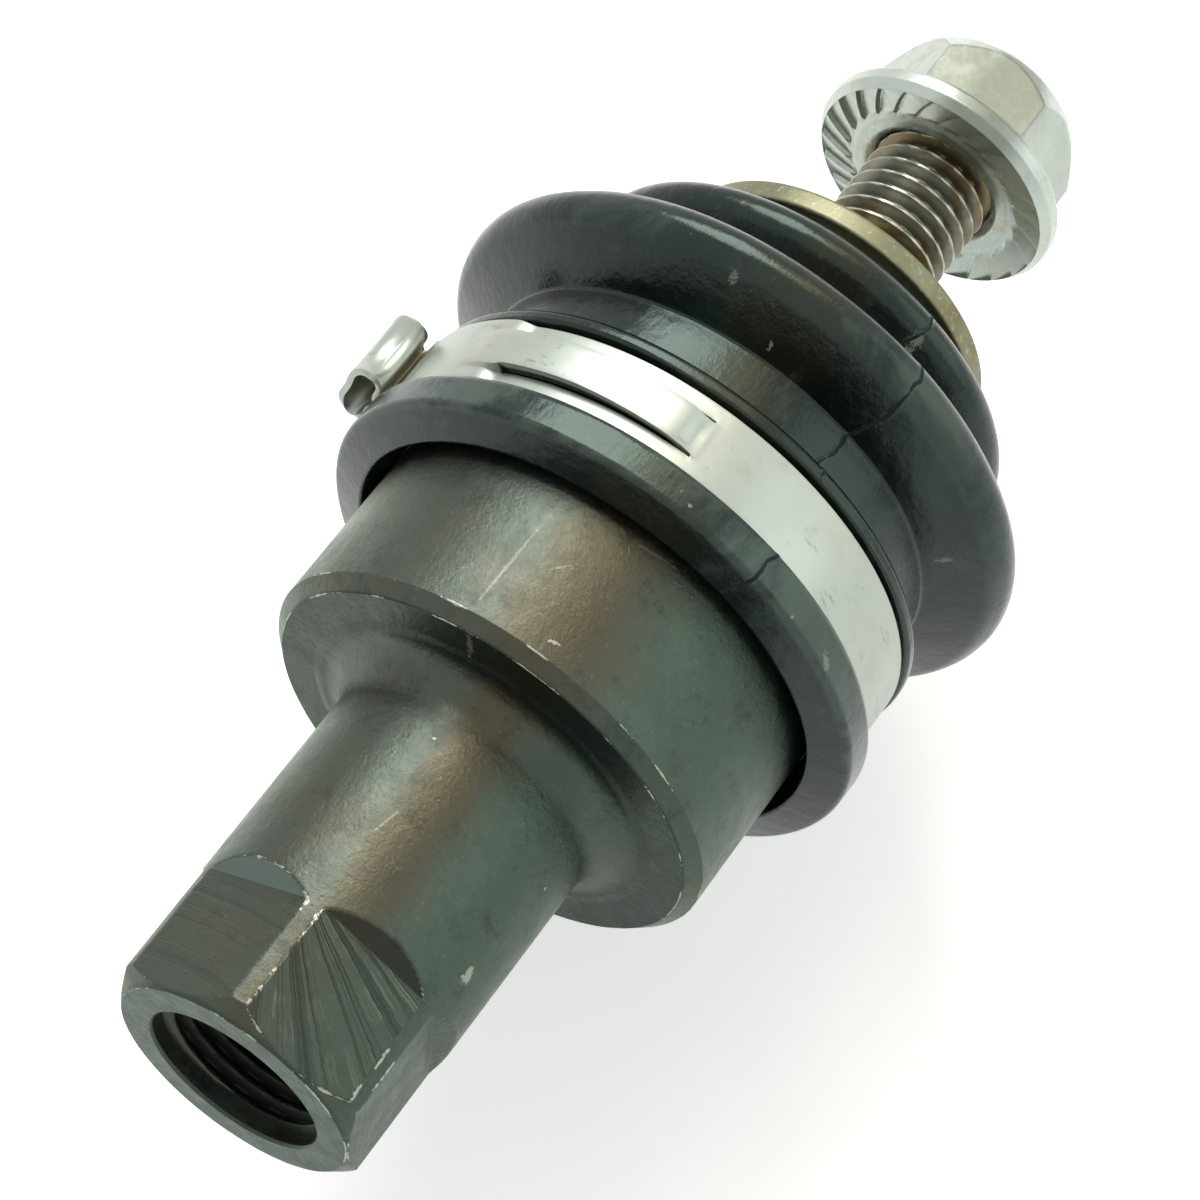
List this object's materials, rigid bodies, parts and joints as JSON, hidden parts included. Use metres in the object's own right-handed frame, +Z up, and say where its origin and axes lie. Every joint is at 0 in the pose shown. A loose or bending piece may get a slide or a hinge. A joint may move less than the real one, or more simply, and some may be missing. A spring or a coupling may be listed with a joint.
{
  "type": "rear toe link ball joint end",
  "caption": "In-line ball joint end of a rear toe link: threaded hex shank, steel socket, clamped two-fold rubber boot, threaded stud with washer and serrated flange nut.",
  "frame": {"origin": "centre of the ball, on the link axis", "axes": "+X along the link axis from the threaded shank towards the stud's tip, +Z up"},
  "size_m": [0.1208, 0.057, 0.057],
  "materials": {
    "housing_steel": "dark phosphated, fine grain",
    "seat_polymer": "smooth acetal",
    "plain_steel": "turned",
    "clamp_steel": "bright stainless strip",
    "boot_rubber": "satin moulded rubber",
    "stud_steel": "rolled thread, light brown oil",
    "yellow_zinc": "yellow passivated zinc",
    "pale_zinc": "pale zinc flake",
    "insert_polymer": "nylon"
  },
  "bodies": {
    "socket": {"housing": "housing_steel", "lower_seat": "seat_polymer", "upper_seat": "seat_polymer", "closing_ring": "plain_steel", "boot_clamp": "clamp_steel"},
    "boot_middle": {"dust_boot": "boot_rubber"},
    "boot_end": {"boot_small_ring": "plain_steel"},
    "stud": {"ball_stud": "stud_steel", "seat_washer": "yellow_zinc"},
    "nut_lift": {"nut_insert": "insert_polymer"},
    "nut": {"flange_nut": "pale_zinc"}
  },
  "joints": [
    {"name": "tilt_side", "type": "hinge", "parent": "socket", "child": "boot_middle", "pos_m": [0, 0, 0], "axis": [0, 0, 1], "range_deg": [-18, 18], "deforming": ["dust_boot"]},
    {"name": "tilt_up", "type": "hinge", "parent": "boot_middle", "child": "boot_end", "pos_m": [0, 0, 0], "axis": [0, 1, 0], "range_deg": [-18, 18], "deforming": ["dust_boot"]},
    {"name": "stud_spin", "type": "hinge", "parent": "boot_end", "child": "stud", "pos_m": [0, 0, 0], "axis": [1, 0, 0], "continuous": true},
    {"name": "nut_travel", "type": "slide", "parent": "stud", "child": "nut_lift", "axis": [1, 0, 0], "range_m": [-0.0169, 0.0096]},
    {"name": "nut_turn", "type": "hinge", "parent": "nut_lift", "child": "nut", "pos_m": [0.06, 0, 0], "axis": [1, 0, 0], "range_deg": [-3480, 1980]}
  ],
  "couplings": [
    {"joint": "nut_turn", "follows": "nut_travel", "rad_per_m": 3590.4}
  ]
}
